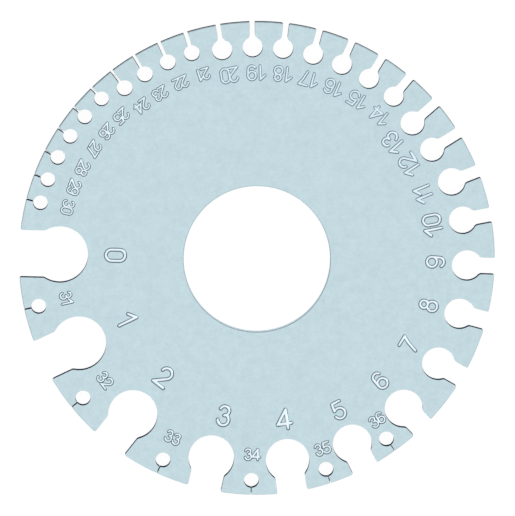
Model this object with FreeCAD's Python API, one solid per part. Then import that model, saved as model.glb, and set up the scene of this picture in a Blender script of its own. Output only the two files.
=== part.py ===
import FreeCAD, Part
import math
import os

# Wire gauge plate: one flat round piece of steel with a bore in its middle. Thirty-seven slots
# run in from the rim, one for each wire gauge from 0 to 36. Each slot ends in a round relief
# hole, and the gauge number is stamped into the top face beyond it.
# Lengths are in millimetres and angles in degrees, counterclockwise from +X.
# The plate lies on z = 0 with its numbers up, and the origin is the middle of the bore.

# The plate
plate_diameter = 82.55
plate_thickness = 2.0
bore_diameter = 25.4
edge_break = 0.15

# Slot widths: each gauge is a fixed ratio narrower than the one before it
finest_gauge = 36
finest_width = 0.127
series_ratio = 92.0
series_steps = 39

# Places round the rim. Gauges 0 to 30 run counterclockwise, and these are the angles from
# each of them to the next. Gauges 31 to 36, the fine ones, stand in the first six gaps, a little
# off the middle.
first_angle = 178.55
gauge_steps = (
    [26.85, 26.15, 25.6, 21.45, 18.55, 17.1, 15.55, 14.9, 13.45, 12.5, 11.0, 10.4, 9.15, 8.8]
    + [8.23] * 6
    + [8.05, 6.8, 6.8, 6.5, 6.35, 6.3, 6.25, 6.3, 6.25, 6.25]
)
first_fine_gauge = len(gauge_steps) + 1
fine_past_middle = [0.2, 0.25, 0.7, 0.7, 0.2, -0.15]

# Punching: first and last gauge of a run, diameter of the relief hole, depth of its centre in
# from the rim, and from the edge of the hole in to the middle of the number's height
punching = [
    (0, 0, 9.8, 7.1, 4.25),
    (1, 1, 9.4, 7.1, 4.05),
    (2, 2, 8.6, 6.6, 3.8),
    (3, 3, 7.95, 5.6, 3.45),
    (4, 4, 7.6, 5.6, 3.35),
    (5, 5, 6.8, 4.9, 3.0),
    (6, 6, 6.65, 4.7, 3.3),
    (7, 7, 5.7, 4.8, 3.55),
    (8, 9, 5.3, 4.8, 3.35),
    (10, 11, 4.8, 4.95, 3.45),
    (12, 13, 4.2, 5.45, 3.15),
    (14, 20, 3.5, 4.4, 2.85),
    (21, 24, 2.75, 3.7, 2.75),
    (25, 30, 2.55, 2.5, 3.05),
    (31, 32, 2.6, 2.55, 3.15),
    (33, 33, 2.6, 2.55, 2.6),
    (34, 34, 2.6, 2.55, 3.05),
    (35, 35, 2.6, 2.55, 2.3),
    (36, 36, 2.6, 2.55, 2.5),
]
least_relief = 1.12  # a relief hole is at least this many slot widths across
neck_radius = 0.8  # rounding where a slot opens into its hole, down to last_necked_gauge
last_necked_gauge = 20
corner_radius = 0.28  # rounding where a slot meets the rim, down to last_cornered_gauge
last_cornered_gauge = 18

# Stamps: first and last gauge of a run, height between the middles of the top and bottom
# strokes, width of a stroke, and pitch of two digits side by side
stamps = [
    (0, 4, 3.35, 0.64, 1.75),
    (5, 10, 2.95, 0.6, 1.65),
    (11, 13, 2.75, 0.58, 1.58),
    (14, 20, 2.4, 0.5, 1.45),
    (21, 30, 1.87, 0.44, 1.23),
    (31, 36, 1.87, 0.47, 1.4),
]
stamp_depth = 0.15
bowl_step = 30.0  # the bowls of the digits are cut in flats, one for each such turn
sharp_mitre = 0.65  # a corner of a digit is blunted where its mitre would run out past this
tip_reach = 0.45  # how far past the corner the blunt tip stands, in half stroke widths

# The numbers were stamped by hand. Their ring lies a little off the bore's centre, and some
# of them have slipped round it, counterclockwise where the value is positive.
ring_shift = FreeCAD.Vector(0.5, 0.17, 0)
slipped = {
    0: 0.1, 1: 0.15, 2: -0.15, 4: -0.1, 7: -0.1, 8: -0.3, 9: 0.25, 10: 0.15, 11: 0.2, 13: -0.1,
    15: 0.15, 16: 0.2, 17: 0.1, 18: 0.05, 21: -0.1, 22: -0.1, 25: 0.1, 28: 0.1, 30: -0.15,
    31: -0.1, 32: -0.25, 33: -0.5, 34: -0.5, 36: 0.1,
}


def slot_width(gauge):
    return finest_width * series_ratio ** ((finest_gauge - gauge) / series_steps)


def run_values(table, gauge):
    """The values of the run that a gauge belongs to."""
    for first, last, *values in table:
        if first <= gauge <= last:
            return values


def slot_angles():
    """Angle of each gauge's slot, in order round the rim."""
    angles = [first_angle]
    for step in gauge_steps:
        angles.append(angles[-1] + step)
    placed = dict(enumerate(angles))
    for i, past in enumerate(fine_past_middle):
        placed[first_fine_gauge + i] = (angles[i] + angles[i + 1]) / 2 + past
    return dict(sorted(placed.items(), key=lambda item: item[1]))


def relief(gauge):
    """Radius of a gauge's relief hole and the distance of its centre from the plate's centre."""
    hole_diameter, depth, _ = run_values(punching, gauge)
    hole_radius = max(hole_diameter, least_relief * slot_width(gauge)) / 2
    return hole_radius, plate_diameter / 2 - depth


def arc(centre, start, end, radius):
    """The short arc from start to end, bulging away from its centre."""
    middle = (start + end) / 2 - centre
    middle = centre + middle.normalize() * radius
    return Part.Arc(start, middle, end).toShape()


def line(start, end):
    return Part.LineSegment(start, end).toShape()


def polygon(points):
    return Part.Face(Part.makePolygon(points + points[:1]))


def slot_side(gauge):
    """One side of a slot that lies along +X: its points on the rim, slot and hole, and the two
    centres that its rounded corner and rounded neck turn about."""
    rim = plate_diameter / 2
    half = slot_width(gauge) / 2
    hole_radius, hole_place = relief(gauge)
    corner = corner_radius if gauge <= last_cornered_gauge else 0
    neck = neck_radius if gauge <= last_necked_gauge else 0
    corner_reach = math.sqrt((rim - corner) ** 2 - (half + corner) ** 2)
    corner_centre = FreeCAD.Vector(corner_reach, half + corner, 0)
    neck_reach = math.sqrt((hole_radius + neck) ** 2 - (half + neck) ** 2)
    neck_centre = FreeCAD.Vector(hole_place + neck_reach, half + neck, 0)
    hole_centre = FreeCAD.Vector(hole_place, 0, 0)
    on_rim = corner_centre * (rim / (rim - corner))
    slot_outer = FreeCAD.Vector(corner_centre.x, half, 0)
    slot_inner = FreeCAD.Vector(neck_centre.x, half, 0)
    on_hole = hole_centre + (neck_centre - hole_centre) * (hole_radius / (hole_radius + neck))
    return (on_rim, slot_outer, slot_inner, on_hole), (corner_centre, corner), (neck_centre, neck)


def slot_edges(gauge, angle):
    """Edges of one slot, counterclockwise round the plate, with its two points on the rim."""
    turn = FreeCAD.Rotation(FreeCAD.Vector(0, 0, 1), angle)
    hole_radius, hole_place = relief(gauge)
    points, (corner_centre, corner), (neck_centre, neck) = slot_side(gauge)
    sides = []
    for side in (-1, 1):
        def place(p):
            return turn.multVec(FreeCAD.Vector(p.x, side * p.y, 0))

        on_rim, slot_outer, slot_inner, on_hole = [place(p) for p in points]
        edges = [line(slot_outer, slot_inner)]
        if corner:
            edges.append(arc(place(corner_centre), on_rim, slot_outer, corner))
        if neck:
            edges.append(arc(place(neck_centre), slot_inner, on_hole, neck))
        sides.append((edges, on_rim, on_hole))
    (first_edges, first_rim, first_hole), (last_edges, last_rim, last_hole) = sides
    far = turn.multVec(FreeCAD.Vector(hole_place - hole_radius, 0, 0))
    hole_edge = Part.Arc(first_hole, far, last_hole).toShape()
    return first_edges + [hole_edge] + last_edges, first_rim, last_rim


def plate_outline():
    """The closed outline of the plate, through every slot and relief hole."""
    edges = []
    rim_points = []
    for gauge, angle in slot_angles().items():
        slot, enter, leave = slot_edges(gauge, angle)
        edges += slot
        rim_points.append((enter, leave))
    origin = FreeCAD.Vector(0, 0, 0)
    for (_, leave), (enter, _) in zip(rim_points, rim_points[1:] + rim_points[:1]):
        edges.append(arc(origin, leave, enter, plate_diameter / 2))
    return Part.Wire(Part.__sortEdges__(edges))


def blank():
    """The round blank with its bore, and the broken edges of both."""
    rim = plate_diameter / 2
    bore = bore_diameter / 2
    low = 0.0
    high = plate_thickness
    profile = [
        (bore + edge_break, low),
        (rim - edge_break, low),
        (rim, low + edge_break),
        (rim, high - edge_break),
        (rim - edge_break, high),
        (bore + edge_break, high),
        (bore, high - edge_break),
        (bore, low + edge_break),
    ]
    section = polygon([FreeCAD.Vector(x, 0, z) for x, z in profile])
    return section.revolve(FreeCAD.Vector(0, 0, 0), FreeCAD.Vector(0, 0, 1), 360)


def slotted_plate():
    outline = Part.Face(plate_outline())
    return blank().common(outline.extrude(FreeCAD.Vector(0, 0, plate_thickness)))


# Digits. A stroke is a list of points along its middle, in units of the digit's height, with
# x from the middle of the digit and y up from its foot. A closed stroke ends where it starts.


def bowl(x, y, radius, start, end):
    """Points of a round stretch about (x, y), from one angle to another."""
    count = max(1, round(abs(end - start) / bowl_step))
    turns = [math.radians(start + (end - start) * i / count) for i in range(count + 1)]
    return [(x + radius * math.cos(a), y + radius * math.sin(a)) for a in turns]


def closed(points):
    return points + points[:1]


six = [
    bowl(0, 0.295, 0.295, 0, 360),
    [(-0.295, 0.295)] + bowl(0, 0.73, 0.27, 180, 25),
]
digit_strokes = {
    "0": [closed(bowl(0, 0.71, 0.29, 0, 180) + bowl(0, 0.29, 0.29, 180, 360))],
    "1": [[(0, 0), (0, 1), (-0.36, 0.68)]],
    "2": [bowl(0.01, 0.715, 0.285, 175, -46) + [(-0.335, 0), (0.34, 0)]],
    "3": [bowl(0, 0.76, 0.24, 165, -85), bowl(0.02, 0.285, 0.285, 80, -170)],
    "4": [[(0.16, 0), (0.16, 1)], [(0.16, 1), (-0.36, 0.26), (0.37, 0.26)]],
    "5": [[(0.3, 1), (-0.19, 1), (-0.25, 0.55)], bowl(0, 0.32, 0.32, 135, -165)],
    "6": six,
    "7": [[(-0.31, 1), (0.31, 1), (0.06, 0.6), (-0.12, 0)]],
    "8": [bowl(0, 0.29, 0.29, 0, 360), bowl(0, 0.785, 0.225, 0, 360)],
    "9": [[(-x, 1 - y) for x, y in stroke] for stroke in six],
}


def stroke_side(points, is_closed, offset):
    """The points of a stroke's middle moved sideways. Corners are mitred, and the outside of a
    sharp one is blunted by a flat."""
    ring = points[:-1] if is_closed else points
    last = len(ring) - 1
    moved = []
    for i, p in enumerate(ring):
        before = (p - ring[i - 1]).normalize() if is_closed or i > 0 else None
        after = (ring[(i + 1) % len(ring)] - p).normalize() if is_closed or i < last else None
        before, after = before or after, after or before
        first_normal, last_normal = [FreeCAD.Vector(-d.y, d.x, 0) for d in (before, after)]
        mitre = (first_normal + last_normal) / 2
        outside = before.cross(after).z * offset < 0
        if outside and mitre.Length < sharp_mitre:
            flat = before * abs(offset) * tip_reach
            moved.append(p + first_normal * offset + flat)
            flat = after * abs(offset) * tip_reach
            moved.append(p + last_normal * offset - flat)
        else:
            moved.append(p + mitre * (offset / mitre.Length ** 2))
    return moved


def stroke_face(points, width):
    """The flat face of one stroke."""
    is_closed = (points[0] - points[-1]).Length < 1e-6
    left = stroke_side(points, is_closed, width / 2)
    right = stroke_side(points, is_closed, -width / 2)
    if is_closed:
        inner, outer = sorted((polygon(left), polygon(right)), key=lambda face: face.Area)
        return outer.cut(inner)
    return polygon(left + right[::-1])


def digit_face(digit, height, stroke_width, to_plate):
    """The faces of one digit, fused where its strokes cross and placed on the plate."""
    faces = []
    for stroke in digit_strokes[digit]:
        points = [to_plate(x * height, (y - 0.5) * height) for x, y in stroke]
        faces.append(stroke_face(points, stroke_width))
    if len(faces) == 1:
        return faces[0]
    return faces[0].fuse(faces[1:]).removeSplitter()


def number_faces(gauge, angle):
    """The faces of one gauge number: its feet towards the rim, and read counterclockwise."""
    height, stroke_width, pitch = run_values(stamps, gauge)
    hole_radius, hole_place = relief(gauge)
    stand_off = run_values(punching, gauge)[2]
    turn = FreeCAD.Rotation(FreeCAD.Vector(0, 0, 1), angle)
    middle = hole_place - hole_radius - stand_off
    slip = slipped.get(gauge, 0)
    digits = str(gauge)
    faces = []
    for i, digit in enumerate(digits):
        along = slip + (i - (len(digits) - 1) / 2) * pitch

        def to_plate(x, y):
            return ring_shift + turn.multVec(FreeCAD.Vector(middle - y, along + x, 0))

        faces += digit_face(digit, height, stroke_width, to_plate).Faces
    return faces


def stamped_numbers():
    """The metal that the number stamps press out of the top face."""
    prisms = []
    for gauge, angle in slot_angles().items():
        for face in number_faces(gauge, angle):
            face.translate(FreeCAD.Vector(0, 0, plate_thickness - stamp_depth))
            prisms.append(face.extrude(FreeCAD.Vector(0, 0, 2 * stamp_depth)))
    return prisms


def gauge_plate():
    return slotted_plate().cut(stamped_numbers()).removeSplitter()


os.makedirs("parts", exist_ok=True)
plate = gauge_plate()
print("gauge_plate", len(plate.Solids), "solid, valid", plate.isValid(), "volume", round(plate.Volume, 1))
plate.Solids[0].exportStep("parts/gauge_plate.step")
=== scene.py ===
import bpy, math
from mathutils import Matrix, Vector


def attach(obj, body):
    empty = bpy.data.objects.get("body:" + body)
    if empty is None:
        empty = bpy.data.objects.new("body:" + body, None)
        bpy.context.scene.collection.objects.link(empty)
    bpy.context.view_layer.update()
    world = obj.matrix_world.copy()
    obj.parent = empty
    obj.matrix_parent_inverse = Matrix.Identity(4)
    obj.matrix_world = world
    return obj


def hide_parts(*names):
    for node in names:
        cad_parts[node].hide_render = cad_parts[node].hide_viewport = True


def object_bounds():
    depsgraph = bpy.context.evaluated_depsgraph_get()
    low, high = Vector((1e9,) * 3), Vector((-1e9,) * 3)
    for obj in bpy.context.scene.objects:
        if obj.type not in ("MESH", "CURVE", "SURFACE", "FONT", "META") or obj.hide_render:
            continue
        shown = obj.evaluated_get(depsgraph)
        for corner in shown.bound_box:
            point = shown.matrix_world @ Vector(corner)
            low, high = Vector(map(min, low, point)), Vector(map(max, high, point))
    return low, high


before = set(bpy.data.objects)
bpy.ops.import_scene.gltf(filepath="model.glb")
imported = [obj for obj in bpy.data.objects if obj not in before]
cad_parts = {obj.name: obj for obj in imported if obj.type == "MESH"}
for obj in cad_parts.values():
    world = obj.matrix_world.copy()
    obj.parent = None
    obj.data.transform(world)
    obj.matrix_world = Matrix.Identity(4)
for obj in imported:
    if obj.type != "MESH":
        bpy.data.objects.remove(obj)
cadLow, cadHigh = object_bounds()
mm = 0.001
scene = bpy.context.scene
scene.view_settings.view_transform = "Standard"
print("frame loaded")


# Camera, as the photograph was taken: almost straight down, through a long lens

view = {
    "tilt": 6.5,                    # degrees off straight down
    "tiltTurn": 98.0,               # degrees round from +X to where the camera stands
    "lens": 600.0,                  # millimetres
    "sensor": 36.0,                 # millimetres
    "imageSize": (515, 516),        # pixels
    "plateCentre": (256.9, 259.1),  # pixel at the middle of the top face
    "pixel": 0.17339,               # millimetres on the top face
}


def addCamera():
    data = bpy.data.cameras.new("camera")
    camera = bpy.data.objects.new("camera", data)
    scene.collection.objects.link(camera)
    data.lens = view["lens"]
    data.sensor_width = view["sensor"]
    width, height = view["imageSize"]
    pixel = view["pixel"] * mm
    distance = max(width, height) * pixel * view["lens"] / view["sensor"]
    back = Matrix.Rotation(math.radians(view["tiltTurn"]), 3, "Z") @ Vector((1, 0, 0))
    back = back.slerp(Vector((0, 0, 1)), 1 - view["tilt"] / 90)
    right = Vector((0, 1, 0)).cross(back).normalized()
    up = back.cross(right)
    aim = Vector((0, 0, cadHigh.z))
    aim += right * (width / 2 - view["plateCentre"][0]) * pixel
    aim += up * (view["plateCentre"][1] - height / 2) * pixel
    turn = Matrix((right, up, back)).transposed().to_4x4()
    camera.matrix_world = Matrix.Translation(aim + back * distance) @ turn
    data.clip_start = distance / 10
    data.clip_end = distance * 10
    scene.camera = camera


addCamera()
print("camera placed")


# Node trees

class Value:
    # wraps an output socket, so that sums on it add Math nodes

    def __init__(self, tree, socket):
        self.tree = tree
        self.socket = socket

    def __getitem__(self, name):
        return Value(self.tree, self.socket.node.outputs[name])

    def combine(self, operation, first, second=0.0):
        return self.tree.add("ShaderNodeMath", {"operation": operation}, {0: first, 1: second})

    def __add__(self, other):
        return self.combine("ADD", self, other)

    def __sub__(self, other):
        return self.combine("SUBTRACT", self, other)

    def __rsub__(self, other):
        return self.combine("SUBTRACT", other, self)

    def __mul__(self, other):
        return self.combine("MULTIPLY", self, other)

    def __truediv__(self, other):
        return self.combine("DIVIDE", self, other)

    def __pow__(self, other):
        return self.combine("POWER", self, other)

    def __lt__(self, other):
        return self.combine("LESS_THAN", self, other)

    def __gt__(self, other):
        return self.combine("GREATER_THAN", self, other)

    def __abs__(self):
        return self.combine("ABSOLUTE", self)

    __radd__ = __add__

    def atLeast(self, other):
        return self.combine("MAXIMUM", self, other)

    def atMost(self, other):
        return self.combine("MINIMUM", self, other)

    def between(self, low, high):
        # 0 at low and below, 1 at high and above
        return self.tree.add("ShaderNodeMapRange", {"interpolation_type": "SMOOTHSTEP"}, {
            "Value": self, "From Min": low, "From Max": high,
        })


class Tree:
    def __init__(self, group):
        self.group = group

    def add(self, kind, settings=None, inputs=None, out=0):
        # adds a node; a list of values means several links into one socket
        node = self.group.nodes.new(kind)
        for name, value in (settings or {}).items():
            setattr(node, name, value)
        for name, given in (inputs or {}).items():
            for value in given if isinstance(given, list) else [given]:
                if isinstance(value, Value):
                    self.group.links.new(value.socket, node.inputs[name])
                else:
                    node.inputs[name].default_value = value
        return Value(self, node.outputs[out]) if node.outputs else None

    def vector(self, x, y, z):
        return self.add("ShaderNodeCombineXYZ", {}, {"X": x, "Y": y, "Z": z})

    def parts(self, vector):
        return self.add("ShaderNodeSeparateXYZ", {}, {"Vector": vector})

    def scaled(self, vector, by):
        return self.add("ShaderNodeVectorMath", {"operation": "SCALE"}, {"Vector": vector, "Scale": by})

    def mixed(self, share, first, second):
        # the first colour where share is 0, the second where it is 1
        settings = {"data_type": "RGBA"}
        return self.add("ShaderNodeMix", settings, {0: share, 6: first, 7: second}, out=2)

    def noise(self, at, size, detail=2.0, roughness=0.5):
        # noise with blotches of that size, in millimetres
        inputs = {"Vector": at, "Scale": 1 / (size * mm), "Detail": detail, "Roughness": roughness}
        return self.add("ShaderNodeTexNoise", {}, inputs)


# Steel: a satin face, walls painted darker as painted shade, and stamped numbers with painted shade on
# their walls and a painted highlight on their floor

def written(colour):
    # a colour as it is written in a picture, made linear
    red, green, blue = [((part / 255 + 0.055) / 1.055) ** 2.4 for part in colour]
    return (red, green, blue, 1.0)


def newMaterial(name):
    material = bpy.data.materials.new(name)
    material.use_nodes = True
    material.node_tree.nodes.clear()
    return material, Tree(material.node_tree)


def finishSteel(tree, colour, roughness, bumpOf=None, bumpHeight=0.0, grazing=(255, 255, 255)):
    # grazing is the tint of what the steel mirrors where it is seen almost edge on
    inputs = {"Base Color": colour, "Roughness": roughness, "Metallic": 1.0}
    inputs["Specular Tint"] = written(grazing)
    if bumpOf:
        bump = {"Height": bumpOf, "Distance": bumpHeight * mm, "Strength": 1.0}
        inputs["Normal"] = tree.add("ShaderNodeBump", {}, bump)
    shader = tree.add("ShaderNodeBsdfPrincipled", {}, inputs)
    tree.add("ShaderNodeOutputMaterial", {}, {"Surface": shader})


satin = {
    "dark": (179, 200, 207),
    "light": (212, 233, 240),
    "mottleSize": 1.4,       # millimetres
    "mottleDetail": 4.0,
    "mottleRoughness": 0.9,
    "roughness": 0.4,
    "roughnessSpread": 0.1,  # from the bottom of the grain to its top
    "grainSize": 0.12,       # millimetres
    "grainHeight": 0.0015,   # millimetres
}


def satinSteel():
    material, tree = newMaterial("satinSteel")
    place = tree.add("ShaderNodeTexCoord")["Object"]
    mottle = tree.noise(place, satin["mottleSize"], satin["mottleDetail"], satin["mottleRoughness"])
    grain = tree.noise(place, satin["grainSize"])
    colour = tree.mixed(mottle, written(satin["dark"]), written(satin["light"]))
    roughness = satin["roughness"] + (grain - 0.5) * satin["roughnessSpread"]
    finishSteel(tree, colour, roughness, grain, satin["grainHeight"])
    return material


# the punch shears the lower part of a wall rough, and burnishes the rest of it; both colours are
# painted darker than bare steel, as painted shade for the dark that the walls mirror

sheared = {
    "rough": (50, 60, 80),
    "burnished": (72, 86, 108),
    # a dark tint on what the walls mirror edge on: painted shade in their reflection
    "grazing": (84, 98, 124),
    "burnishedShare": 0.3,        # of the thickness, down from the top face
    "waviness": 0.3,              # of the line between the two, in millimetres
    "blend": 0.1,                 # half the width of that line, in millimetres
    "scratchSize": 0.1,           # millimetres
    "scratchLength": 8.0,         # times their size
    "scratchDetail": 3.0,
    "scratchHeight": 0.01,        # millimetres
    "roughnesses": (0.55, 0.35),  # where it is rough, and burnished
}


def shearedSteel():
    material, tree = newMaterial("shearedSteel")
    place = tree.add("ShaderNodeTexCoord")["Object"]
    squeeze = (1, 1, 1 / sheared["scratchLength"])
    squeezed = tree.add("ShaderNodeVectorMath", {"operation": "MULTIPLY"}, {0: place, 1: squeeze})
    scratches = tree.noise(squeezed, sheared["scratchSize"], sheared["scratchDetail"])
    height = tree.parts(place)["Z"] + (scratches - 0.5) * sheared["waviness"] * mm
    line = cadHigh.z * (1 - sheared["burnishedShare"])
    blend = sheared["blend"] * mm
    burnished = height.between(line - blend, line + blend)
    # painted shade on the walls: darkest on the rough part, a little lighter on the burnished band
    colour = tree.mixed(burnished, written(sheared["rough"]), written(sheared["burnished"]))
    rough, smooth = sheared["roughnesses"]
    roughness = rough + burnished * (smooth - rough)
    finishSteel(tree, colour, roughness, scratches, sheared["scratchHeight"], sheared["grazing"])
    return material


# the stamps' walls get painted shade and their floor a painted highlight, the deeper the brighter

stamped = {
    "wall": (106, 132, 146),
    "shallow": (206, 228, 236),
    "deep": (236, 247, 252),
    "depths": (0.08, 0.13),  # of the shallow and the deep painted highlight, in millimetres
    "slopes": (28.0, 8.0),   # degrees, between which a wall turns into the floor
    "roughness": 0.35,
}


def stampedSteel():
    material, tree = newMaterial("stampedSteel")
    coordinates = tree.add("ShaderNodeTexCoord")
    depth = (cadHigh.z - tree.parts(coordinates["Object"])["Z"]) / mm
    isDeep = depth.between(*stamped["depths"])
    floor = tree.mixed(isDeep, written(stamped["shallow"]), written(stamped["deep"]))
    upright = tree.parts(coordinates["Normal"])["Z"]
    isFloor = upright.between(*[math.cos(math.radians(slope)) for slope in stamped["slopes"]])
    # painted shade on the walls, painted highlight on the floor
    finishSteel(tree, tree.mixed(isFloor, written(stamped["wall"]), floor), stamped["roughness"])
    return material


materials = {"Satin": satinSteel(), "Sheared": shearedSteel(), "Stamped": stampedSteel()}
print("materials made")


# Geometry trees

def geometryTree(name, inputs):
    group = bpy.data.node_groups.new(name, "GeometryNodeTree")
    group.interface.new_socket("Geometry", in_out="INPUT", socket_type="NodeSocketGeometry")
    group.interface.new_socket("Geometry", in_out="OUTPUT", socket_type="NodeSocketGeometry")
    for label, value in inputs.items():
        kind = {int: "Int", float: "Float"}.get(type(value), type(value).__name__)
        group.interface.new_socket(label, in_out="INPUT", socket_type="NodeSocket" + kind)
    tree = Tree(group)
    return tree, tree.add("NodeGroupInput")


def addTree(piece, tree, inputs):
    modifier = piece.modifiers.new(tree.group.name, "NODES")
    modifier.node_group = tree.group
    for item in tree.group.interface.items_tree:
        if item.in_out == "INPUT" and item.name in inputs:
            modifier[item.identifier] = inputs[item.name]


# Plate: a round blank, less a slot and a relief hole for each gauge

plate = {  # lengths in millimetres
    "diameter": 82.55,
    "thickness": 2.0,
    "bore": 25.4,
    "rimSides": 720,
    "boreSides": 360,
    "holeSides": 96,
    "rimBreak": 0.15,         # size of the bevels at the rim and bore
    "slotBreak": 0.03,        # radius of a slot's edges
    "breakShare": 0.2,        # at most this much of the slot's width
    "breakSteps": 3,          # rings of faces on a broken edge
    "mergeDistance": 0.0003,
}
# on the side of a cutter: the wall, both broken edges, and what reaches past the two faces
sideSegments = 1 + 2 * plate["breakSteps"] + 2

slots = {  # lengths in millimetres, turns in degrees counterclockwise
    "finestGauge": 36,
    "finestWidth": 0.127,
    "seriesRatio": 92.0,      # of widths, over that many gauges
    "seriesSteps": 39.0,
    "firstTurn": 178.55,      # from +X to gauge 0
    "turnSteps": [            # from each gauge to the next
        26.85, 26.15, 25.6, 21.45, 18.55, 17.1, 15.55, 14.9, 13.45, 12.5, 11.0, 10.4, 9.15, 8.8,
        8.23, 8.23, 8.23, 8.23, 8.23, 8.23, 8.05, 6.8, 6.8, 6.5, 6.35, 6.3, 6.25, 6.3, 6.25, 6.25,
    ],
    "finePastMiddle": [0.2, 0.25, 0.7, 0.7, 0.2, -0.15],  # the last six stand in the first six gaps
    "holes": [  # last gauge of a run, across its relief hole, depth of the hole's middle from the rim
        (0, 9.8, 7.1), (1, 9.4, 7.1), (2, 8.6, 6.6), (3, 7.95, 5.6), (4, 7.6, 5.6),
        (5, 6.8, 4.9), (6, 6.65, 4.7), (7, 5.7, 4.8), (9, 5.3, 4.8), (11, 4.8, 4.95),
        (13, 4.2, 5.45), (20, 3.5, 4.4), (24, 2.75, 3.7), (30, 2.55, 2.5), (36, 2.6, 2.55),
    ],
    "leastRelief": 1.12,      # a relief hole is at least this many slot widths across
    "neckRadius": 0.8,        # where a slot opens into its hole
    "lastNecked": 20,
    "cornerRadius": 0.28,     # where a slot meets the rim; at exactly 0.3 the cut plate comes out empty
    "lastCornered": 18,
}


def runOf(table, gauge):
    return next(row[1:] for row in table if gauge <= row[0])


def slotTurns():
    turns = [slots["firstTurn"]]
    for step in slots["turnSteps"]:
        turns.append(turns[-1] + step)
    gaps = zip(turns, turns[1:], slots["finePastMiddle"])
    return turns + [(first + last) / 2 + past for first, last, past in gaps]


def slotWidth(gauge):
    power = (slots["finestGauge"] - gauge) / slots["seriesSteps"]
    return slots["finestWidth"] * slots["seriesRatio"] ** power


def slotMarks():
    # a vertex for each slot, which says what doesn't follow from its gauge
    turns = slotTurns()
    mesh = bpy.data.meshes.new("gaugePlate")
    mesh.from_pydata([(0, 0, 0)] * len(turns), [], [])
    holes = [runOf(slots["holes"], gauge) for gauge in range(len(turns))]
    facts = {
        "gauge": list(range(len(turns))),
        "turn": [math.radians(turn) for turn in turns],
        "holeAcross": [across * mm for across, _ in holes],
        "holeDepth": [depth * mm for _, depth in holes],
    }
    for name, values in facts.items():
        mesh.attributes.new(name, "FLOAT", "POINT").data.foreach_set("value", values)
    piece = bpy.data.objects.new("gaugePlate", mesh)
    scene.collection.objects.link(piece)
    return piece


plateInputs = {
    "Diameter": plate["diameter"] * mm,
    "Thickness": plate["thickness"] * mm,
    "Bore": plate["bore"] * mm,
    "Finest Gauge": float(slots["finestGauge"]),
    "Finest Width": slots["finestWidth"] * mm,
    "Series Ratio": slots["seriesRatio"],
    "Series Steps": slots["seriesSteps"],
    "Least Relief": slots["leastRelief"],
    "Neck Radius": slots["neckRadius"] * mm,
    "Last Necked": float(slots["lastNecked"]),
    "Corner Radius": slots["cornerRadius"] * mm,
    "Last Cornered": float(slots["lastCornered"]),
    "Rim Break": plate["rimBreak"] * mm,
    "Slot Break": plate["slotBreak"] * mm,
    "Break Share": plate["breakShare"],
    "Satin": materials["Satin"],
    "Sheared": materials["Sheared"],
}


# attributes that the trees pass on to each other
notes = [
    "gauge", "turn", "holeAcross", "holeDepth", "edge", "ring", "outward", "reach", "layer", "stamped",
]


def fact(tree, name, kind="FLOAT"):
    return tree.add("GeometryNodeInputNamedAttribute", {"data_type": kind}, {"Name": name})


def keepFact(tree, geometry, name, value, kind="FLOAT", domain="POINT"):
    return tree.add("GeometryNodeStoreNamedAttribute", {"data_type": kind, "domain": domain}, {
        "Geometry": geometry, "Name": name, "Value": value,
    })


def cutAway(tree, whole, cutters):
    return tree.add("GeometryNodeMeshBoolean", {"operation": "DIFFERENCE", "solver": "MANIFOLD"}, {
        "Mesh 1": whole, "Mesh 2": cutters,
    })


def ringed(tree, shape, outward, sideways):
    # notes each point's ring, counted from the middle, and its way out to the side
    at = tree.add("GeometryNodeInputPosition")
    ring = abs(tree.parts(at)["Z"]) * sideSegments - 0.5
    outward = tree.add("ShaderNodeVectorMath", {"operation": "MULTIPLY"}, {0: at, 1: outward})
    shape = keepFact(tree, shape, "ring", ring)
    shape = keepFact(tree, shape, "outward", outward, "FLOAT_VECTOR")
    return tree.add("GeometryNodeTransform", {}, {"Geometry": shape, "Translation": sideways})


def ringedPin(tree, sides):
    settings = {"fill_type": "TRIANGLE_FAN"}
    pin = tree.add("GeometryNodeMeshCylinder", settings, {
        "Vertices": sides, "Side Segments": sideSegments, "Radius": 1.0, "Depth": 1.0,
    })
    return ringed(tree, pin, (1, 1, 0), (0, 0, 0))


def ringedBlock(tree):
    size = {"Size": (1, 1, 1), "Vertices Z": sideSegments + 1}
    block = tree.add("GeometryNodeMeshCube", {}, size)
    return ringed(tree, block, (0, 2, 0), (0.5, 0, 0))


def flared(tree, shape, thickness, size, reach, isRound=True):
    # moves the rings to the plate's faces, so that what the shape cuts has edges broken by that size,
    # and the last ring past the face by the reach; a size below 0 breaks the shape's own edges
    at = tree.parts(tree.add("GeometryNodeInputPosition"))
    side = (at["Z"] > 0) * 2 - 1
    ring = fact(tree, "ring")
    share = ring.atMost(plate["breakSteps"]) / plate["breakSteps"]
    turn = share * (math.pi / 2)
    rise = turn.combine("SINE", turn) if isRound else share
    spread = 1 - turn.combine("COSINE", turn) if isRound else share
    past = (ring > plate["breakSteps"] + 0.5) * reach
    high = thickness / 2 - abs(size) * (1 - rise) + past
    way = tree.add("ShaderNodeVectorRotate", {"rotation_type": "Z_AXIS"}, {
        "Vector": fact(tree, "outward", "FLOAT_VECTOR"), "Angle": fact(tree, "turn"),
    })
    out = tree.parts(tree.scaled(way, size * spread))
    place = tree.vector(at["X"] + out["X"], at["Y"] + out["Y"], thickness / 2 + side * high)
    return tree.add("GeometryNodeSetPosition", {}, {"Geometry": shape, "Position": place})


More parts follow.
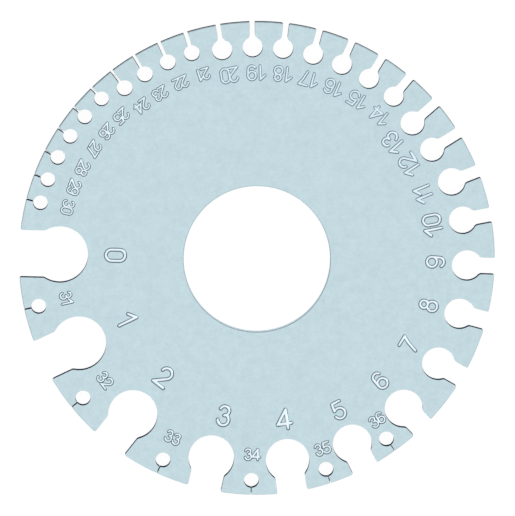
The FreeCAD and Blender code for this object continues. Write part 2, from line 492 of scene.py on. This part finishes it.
def punchedBlank(tree, given):
    add = tree.add
    rim = given["Diameter"] / 2
    power = (given["Finest Gauge"] - fact(tree, "gauge")) / given["Series Steps"]
    width = given["Finest Width"] * given["Series Ratio"] ** power
    half = width / 2
    hole = fact(tree, "holeAcross").atLeast(width * given["Least Relief"]) / 2
    holePlace = rim - fact(tree, "holeDepth")
    edge = given["Slot Break"].atMost(width * given["Break Share"])
    marks = keepFact(tree, given["Geometry"], "edge", edge)
    block = ringedBlock(tree)
    pin = ringedPin(tree, plate["holeSides"])

    def copies(shape, along, across, long, wide, chosen=True, flare=1.0):
        # a copy of the shape at each slot, so far along the slot and to its side
        at = add("ShaderNodeVectorRotate", {"rotation_type": "Z_AXIS"}, {
            "Vector": tree.vector(along, across, 0.0), "Angle": fact(tree, "turn"),
        })
        instances = add("GeometryNodeInstanceOnPoints", {}, {
            "Points": add("GeometryNodeSetPosition", {}, {"Geometry": marks, "Position": at}),
            "Selection": chosen,
            "Instance": shape,
            "Rotation": tree.vector(0.0, 0.0, fact(tree, "turn")),
            "Scale": tree.vector(long, wide, 1.0),
        })
        realized = add("GeometryNodeRealizeInstances", {}, {"Geometry": instances})
        size = fact(tree, "edge") * flare
        return flared(tree, realized, given["Thickness"], size, given["Thickness"])

    def rounding(radius, place, start, long, chosen):
        # a block across the slot less two pins beside it, which leaves both corners round
        aside = half + radius
        blocks = copies(block, start, 0.0, long, aside * 2, chosen)
        pins = [copies(pin, place, aside * way, radius, radius, chosen, -1.0) for way in (-1, 1)]
        return cutAway(tree, blocks, pins)

    holes = copies(pin, holePlace, 0.0, hole, hole)
    mouths = copies(block, holePlace, 0.0, rim - holePlace + half, width)
    neck = given["Neck Radius"]
    neckPlace = ((hole + neck) ** 2 - (half + neck) ** 2) ** 0.5
    neckStart = neckPlace * hole / (hole + neck)
    neckLong = neckPlace - neckStart
    isNecked = fact(tree, "gauge") < given["Last Necked"] + 0.5
    necks = rounding(neck, holePlace + neckPlace, holePlace + neckStart, neckLong, isNecked)
    corner = given["Corner Radius"]
    cornerPlace = ((rim - corner) ** 2 - (half + corner) ** 2) ** 0.5
    isCornered = fact(tree, "gauge") < given["Last Cornered"] + 0.5
    corners = rounding(corner, cornerPlace, cornerPlace, corner * 2, isCornered)

    def disc(sides, radius, flare, reach):
        scale = tree.vector(radius, radius, 1.0)
        shape = add("GeometryNodeTransform", {}, {"Geometry": ringedPin(tree, sides), "Scale": scale})
        return flared(tree, shape, given["Thickness"], given["Rim Break"] * flare, reach, isRound=False)

    blank = disc(plate["rimSides"], rim, -1.0, 0.0)
    bore = disc(plate["boreSides"], given["Bore"] / 2, 1.0, given["Thickness"])
    punched = cutAway(tree, blank, [bore, holes, mouths, necks, corners])
    merging = {"Geometry": punched, "Distance": plate["mergeDistance"] * mm}
    return add("GeometryNodeMergeByDistance", {}, merging)


def plateTree():
    # only the bore's own wall is satin, and the other walls are sheared, with the painted shade of the
    # sheared steel
    tree, given = geometryTree("slotted plate", plateInputs)
    add = tree.add
    geometry = add("GeometryNodeRealizeInstances", {}, {"Geometry": punchedBlank(tree, given)})
    geometry = add("GeometryNodeSetMaterial", {}, {"Geometry": geometry, "Material": given["Satin"]})
    isWall = abs(tree.parts(add("GeometryNodeInputNormal"))["Z"]) < 0.5
    at = tree.parts(add("GeometryNodeInputPosition"))
    isOutside = (at["X"] ** 2 + at["Y"] ** 2) ** 0.5 > given["Bore"] / 2 + given["Rim Break"]
    geometry = add("GeometryNodeSetMaterial", {}, {
        "Geometry": geometry, "Selection": isWall * isOutside, "Material": given["Sheared"],
    })
    add("NodeGroupOutput", {}, {"Geometry": geometry})
    return tree


gaugePlate = slotMarks()
addTree(gaugePlate, plateTree(), plateInputs)
print("plate punched")


# Numbers: every digit is a few strokes, cut by round tubes that dip into the face

numbers = {  # lengths in millimetres, turns in degrees
    "stamps": [  # last gauge of a run, height, stroke width, depth, pitch of two digits
        (4, 3.35, 0.72, 0.16, 1.75), (10, 2.95, 0.66, 0.15, 1.65), (13, 2.75, 0.62, 0.12, 1.58),
        (20, 2.4, 0.54, 0.11, 1.45), (24, 1.87, 0.49, 0.12, 1.23), (30, 1.87, 0.49, 0.13, 1.23),
        (36, 1.87, 0.52, 0.14, 1.4),
    ],
    "standOff": [  # last gauge of a run, from the edge of its hole to the middle of the number
        (0, 4.25), (1, 4.05), (2, 3.8), (3, 3.45), (4, 3.35), (5, 3.0), (6, 3.3), (7, 3.55), (9, 3.35),
        (11, 3.45), (13, 3.15), (20, 2.85), (24, 2.75), (30, 3.05), (32, 3.15), (33, 2.6), (34, 3.05),
        (35, 2.3), (36, 2.5),
    ],
    "ringShift": (0.5, 0.17),        # of the middle of their ring, off the bore's
    "slipped": {  # of each gauge round the ring, counterclockwise where the value is positive
        0: 0.1, 1: 0.15, 2: -0.15, 4: -0.1, 7: -0.1, 8: -0.3, 9: 0.25, 10: 0.15, 11: 0.2, 13: -0.1,
        15: 0.15, 16: 0.2, 17: 0.1, 18: 0.05, 21: -0.1, 22: -0.1, 25: 0.1, 28: 0.1, 30: -0.15,
        31: -0.1, 32: -0.25, 33: -0.5, 34: -0.5, 36: 0.1,
    },
    "bendStep": 10.0,                # from point to point of a round stretch
    "tipTurns": [30.0, 55.0, 80.0],  # the round tip of a stroke, as turns about its end
    "tubeSides": 20,
    "sharpFrom": 40.0,               # edges with more than this between their faces stay sharp
    "levelFrom": 0.999,              # upright part of a face's normal, from which it is shaded flat
}


def bend(x, y, radius, start, end):
    # points of a round stretch about (x, y), in units of the digit's height
    count = max(2, round(abs(end - start) / numbers["bendStep"]))
    turns = [math.radians(start + (end - start) * i / count) for i in range(count + 1)]
    return [(x + radius * math.cos(turn), y + radius * math.sin(turn)) for turn in turns]


six = [bend(0, 0.295, 0.295, 0, 360), [(-0.295, 0.295)] + bend(0, 0.73, 0.27, 180, 25)]
digits = {
    "0": [bend(0, 0.71, 0.29, 0, 180) + bend(0, 0.29, 0.29, 180, 360) + [(0.29, 0.71)]],
    "1": [[(0, 0), (0, 1)], [(0, 1), (-0.36, 0.68)]],
    "2": [bend(0.01, 0.715, 0.285, 175, -46) + [(-0.335, 0)], [(-0.335, 0), (0.34, 0)]],
    "3": [bend(0, 0.76, 0.24, 165, -85), bend(0.02, 0.285, 0.285, 80, -170)],
    "4": [[(0.16, 0), (0.16, 1)], [(0.16, 1), (-0.36, 0.26)], [(-0.36, 0.26), (0.37, 0.26)]],
    "5": [[(0.3, 1), (-0.19, 1)], [(-0.19, 1), (-0.25, 0.55)], bend(0, 0.32, 0.32, 135, -165)],
    "6": six,
    "7": [[(-0.31, 1), (0.31, 1)], [(0.31, 1), (0.08, 0.6), (-0.12, 0)]],
    "8": [bend(0, 0.29, 0.29, 0, 360), bend(0, 0.785, 0.225, 0, 360)],
    "9": [[(-x, 1 - y) for x, y in stroke] for stroke in six],
}
mostStrokes = max(len(strokes) for strokes in digits.values())


def numberPlaces():
    # each stroke as a line on the plate, with its layer and its tube's radius; strokes that touch have
    # different layers, because one cutter mustn't run into itself
    rim = plate["diameter"] / 2
    for gauge, turn in enumerate(slotTurns()):
        height, stroke, depth, pitch = runOf(numbers["stamps"], gauge)
        across, holeDepth = runOf(slots["holes"], gauge)
        hole = max(across, slotWidth(gauge) * slots["leastRelief"]) / 2
        middle = rim - holeDepth - hole - runOf(numbers["standOff"], gauge)[0]
        reach = (stroke ** 2 / 4 + depth ** 2) / (2 * depth)
        shift = Vector((*numbers["ringShift"], plate["thickness"] + reach - depth))
        turned = Matrix.Translation(shift) @ Matrix.Rotation(math.radians(turn), 4, "Z")
        text = str(gauge)
        for order, digit in enumerate(text):
            along = numbers["slipped"].get(gauge, 0) + (order - (len(text) - 1) / 2) * pitch
            for layer, points in enumerate(digits[digit], order * mostStrokes):
                flat = [(middle - (y - 0.5) * height, along + x * height) for x, y in points]
                yield layer, reach, [turned @ Vector((*point, 0)) for point in flat]


def addTips(line, reach):
    # a round tip at both ends of an open stroke, where the tube narrows
    reaches = [reach] * len(line)
    start, end = line[0], line[-1]
    before = (line[0] - line[1]).normalized() * reach
    after = (line[-1] - line[-2]).normalized() * reach
    for turn in map(math.radians, numbers["tipTurns"]):
        line = [start + before * math.sin(turn)] + line + [end + after * math.sin(turn)]
        reaches = [reach * math.cos(turn)] + reaches + [reach * math.cos(turn)]
    return line, reaches


def numberStrokes():
    points, edges, reaches, layers = [], [], [], []
    for layer, reach, line in numberPlaces():
        first = len(points)
        isClosed = (line[0] - line[-1]).length < reach / 10
        if isClosed:
            line, lineReaches = line[:-1], [reach] * (len(line) - 1)
        else:
            line, lineReaches = addTips(line, reach)
        edges += [(first + i, first + i + 1) for i in range(len(line) - 1)]
        if isClosed:
            edges.append((first + len(line) - 1, first))
        points += [point * mm for point in line]
        reaches += [reach * mm for reach in lineReaches]
        layers += [layer] * len(line)
    mesh = bpy.data.meshes.new("numberStrokes")
    mesh.from_pydata(points, edges, [])
    mesh.attributes.new("reach", "FLOAT", "POINT").data.foreach_set("value", reaches)
    mesh.attributes.new("layer", "FLOAT", "POINT").data.foreach_set("value", layers)
    strokes = bpy.data.objects.new("numberStrokes", mesh)
    scene.collection.objects.link(strokes)
    return strokes


def numberTree(inputs):
    tree, given = geometryTree("stamped numbers", inputs)
    add = tree.add
    strokes = add("GeometryNodeObjectInfo", {}, {"Object": given["Object"]})["Geometry"]
    circle = {"Resolution": given["Tube Sides"], "Radius": 1.0}
    profile = add("GeometryNodeCurvePrimitiveCircle", {}, circle)
    cutters = []
    for number in range(mostStrokes * 2):
        isThis = abs(fact(tree, "layer") - number) < 0.5
        layer = add("GeometryNodeSeparateGeometry", {}, {"Geometry": strokes, "Selection": isThis})
        curves = add("GeometryNodeMeshToCurve", {}, {"Mesh": layer})
        tubes = add("GeometryNodeCurveToMesh", {}, {
            "Curve": curves, "Profile Curve": profile, "Scale": fact(tree, "reach"), "Fill Caps": True,
        })
        cutters.append(keepFact(tree, tubes, "stamped", 1.0, domain="FACE"))
    geometry = cutAway(tree, given["Geometry"], cutters)
    geometry = add("GeometryNodeRealizeInstances", {}, {"Geometry": geometry})
    isStamped = fact(tree, "stamped") > 0.5
    upright = abs(tree.parts(add("GeometryNodeInputNormal"))["Z"])
    isFlat = (upright > numbers["levelFrom"]) * (1 - isStamped)
    geometry = add("GeometryNodeSetShadeSmooth", {"domain": "FACE"}, {
        "Geometry": geometry, "Shade Smooth": 1 - isFlat,
    })
    isCorner = add("GeometryNodeInputMeshEdgeAngle") > math.radians(numbers["sharpFrom"])
    geometry = add("GeometryNodeSetShadeSmooth", {"domain": "EDGE"}, {
        "Geometry": geometry, "Selection": isCorner, "Shade Smooth": False,
    })
    geometry = add("GeometryNodeSetMaterial", {}, {
        "Geometry": geometry, "Selection": isStamped, "Material": given["Material"],
    })
    add("NodeGroupOutput", {}, {"Geometry": geometry})
    return tree


numberInputs = {
    "Object": numberStrokes(),
    "Tube Sides": numbers["tubeSides"],
    "Material": materials["Stamped"],
}
addTree(gaugePlate, numberTree(numberInputs), numberInputs)
print("numbers stamped")


def makePlain(piece):
    # keeps the mesh that the modifiers make, and drops the modifiers and what only they use
    mesh = bpy.data.meshes.new_from_object(piece.evaluated_get(bpy.context.evaluated_depsgraph_get()))
    piece.modifiers.clear()
    piece.data = mesh
    for name in set(notes) & set(mesh.attributes.keys()):
        mesh.attributes.remove(mesh.attributes[name])
    for index in reversed(range(len(mesh.materials))):
        if not mesh.materials[index]:
            mesh.materials.pop(index=index)


makePlain(gaugePlate)
bpy.data.objects.remove(numberInputs["Object"])
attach(gaugePlate, "root")
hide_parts("gauge_plate")
print("plate finished:", len(gaugePlate.data.polygons), "faces")


# Studio: a white floor, a pale sky that darkens towards one side of the horizon, and a soft sun

studio = {
    "floorSize": 4.0,               # metres
    "floorGap": 0.01,               # millimetres under the plate
    "floorColour": (0.8, 0.8, 0.8, 1),
    "floorGlow": 1.05,              # of the white that the camera and the steel see
    "floorGlowShare": 0.92,         # the rest is matt and shows the plate's shadow
    "slitReach": 1.0,               # millimetres; what stands nearer than this dims the floor's glow, as painted shade
    "slitOpenness": (0.235, 0.31),  # free share of the view up, where the floor is dark, and white
    "sky": 1.0,                     # strength overhead
    "darkTurn": 135.0,              # degrees round from +X to the darkest side of the horizon
    "horizon": (0.2, 0.65),         # strength on that side, and on the one across from it
    "darkFrom": (-0.5, 0.5),        # how far towards that side it starts to darken, and is darkest
    "skyFrom": (0.1, 0.75),         # how far up the sky starts to brighten, and is bright
    "sunTurn": 225.0,               # degrees round from +X
    "sunHeight": 35.0,              # degrees
    "sunStrength": 0.6,
    "sunSoftness": 20.0,            # degrees
}


def addFloor():
    half = studio["floorSize"] / 2
    low = cadLow.z - studio["floorGap"] * mm
    corners = [(-half, -half, low), (half, -half, low), (half, half, low), (-half, half, low)]
    mesh = bpy.data.meshes.new("floor")
    mesh.from_pydata(corners, [], [(0, 1, 2, 3)])
    floor = bpy.data.objects.new("floor", mesh)
    scene.collection.objects.link(floor)
    material, tree = newMaterial("whiteFloor")
    ray = tree.add("ShaderNodeLightPath")
    isSeen = ray["Is Camera Ray"].atLeast(ray["Is Glossy Ray"]).atLeast(ray["Is Transmission Ray"])
    near = {"Distance": studio["slitReach"] * mm}
    # ambient occlusion takes the glow off the floor in the slits and close round the plate: painted
    # shade
    openness = tree.add("ShaderNodeAmbientOcclusion", {}, near)["AO"]
    share = isSeen * openness.between(*studio["slitOpenness"]) * studio["floorGlowShare"]
    matt = tree.add("ShaderNodeBsdfDiffuse", {}, {"Color": studio["floorColour"]})
    glow = tree.add("ShaderNodeEmission", {}, {"Color": (1, 1, 1, 1), "Strength": studio["floorGlow"]})
    shader = tree.add("ShaderNodeMixShader", {}, {0: share, 1: matt, 2: glow})
    tree.add("ShaderNodeOutputMaterial", {}, {"Surface": shader})
    mesh.materials.append(material)


def addSky():
    world = bpy.data.worlds.new("sky")
    world.use_nodes = True
    world.node_tree.nodes.clear()
    scene.world = world
    tree = Tree(world.node_tree)
    way = tree.parts(tree.add("ShaderNodeTexCoord")["Generated"])
    darkTurn = math.radians(studio["darkTurn"])
    darkness = way["X"] * math.cos(darkTurn) + way["Y"] * math.sin(darkTurn)
    dark, bright = studio["horizon"]
    horizon = bright + darkness.between(*studio["darkFrom"]) * (dark - bright)
    strength = horizon + way["Z"].between(*studio["skyFrom"]) * (studio["sky"] - horizon)
    background = tree.add("ShaderNodeBackground", {}, {"Color": (1, 1, 1, 1), "Strength": strength})
    tree.add("ShaderNodeOutputWorld", {}, {"Surface": background})


def addSun():
    data = bpy.data.lights.new("sun", "SUN")
    data.energy = studio["sunStrength"]
    data.angle = math.radians(studio["sunSoftness"])
    sun = bpy.data.objects.new("sun", data)
    scene.collection.objects.link(sun)
    turn = math.radians(studio["sunTurn"])
    height = math.radians(studio["sunHeight"])
    level = Vector((math.cos(turn), math.sin(turn), 0))
    towards = level * math.cos(height) + Vector((0, 0, math.sin(height)))
    sun.matrix_world = towards.to_track_quat("Z", "Y").to_matrix().to_4x4()


addFloor()
addSky()
addSun()
print("studio lit")
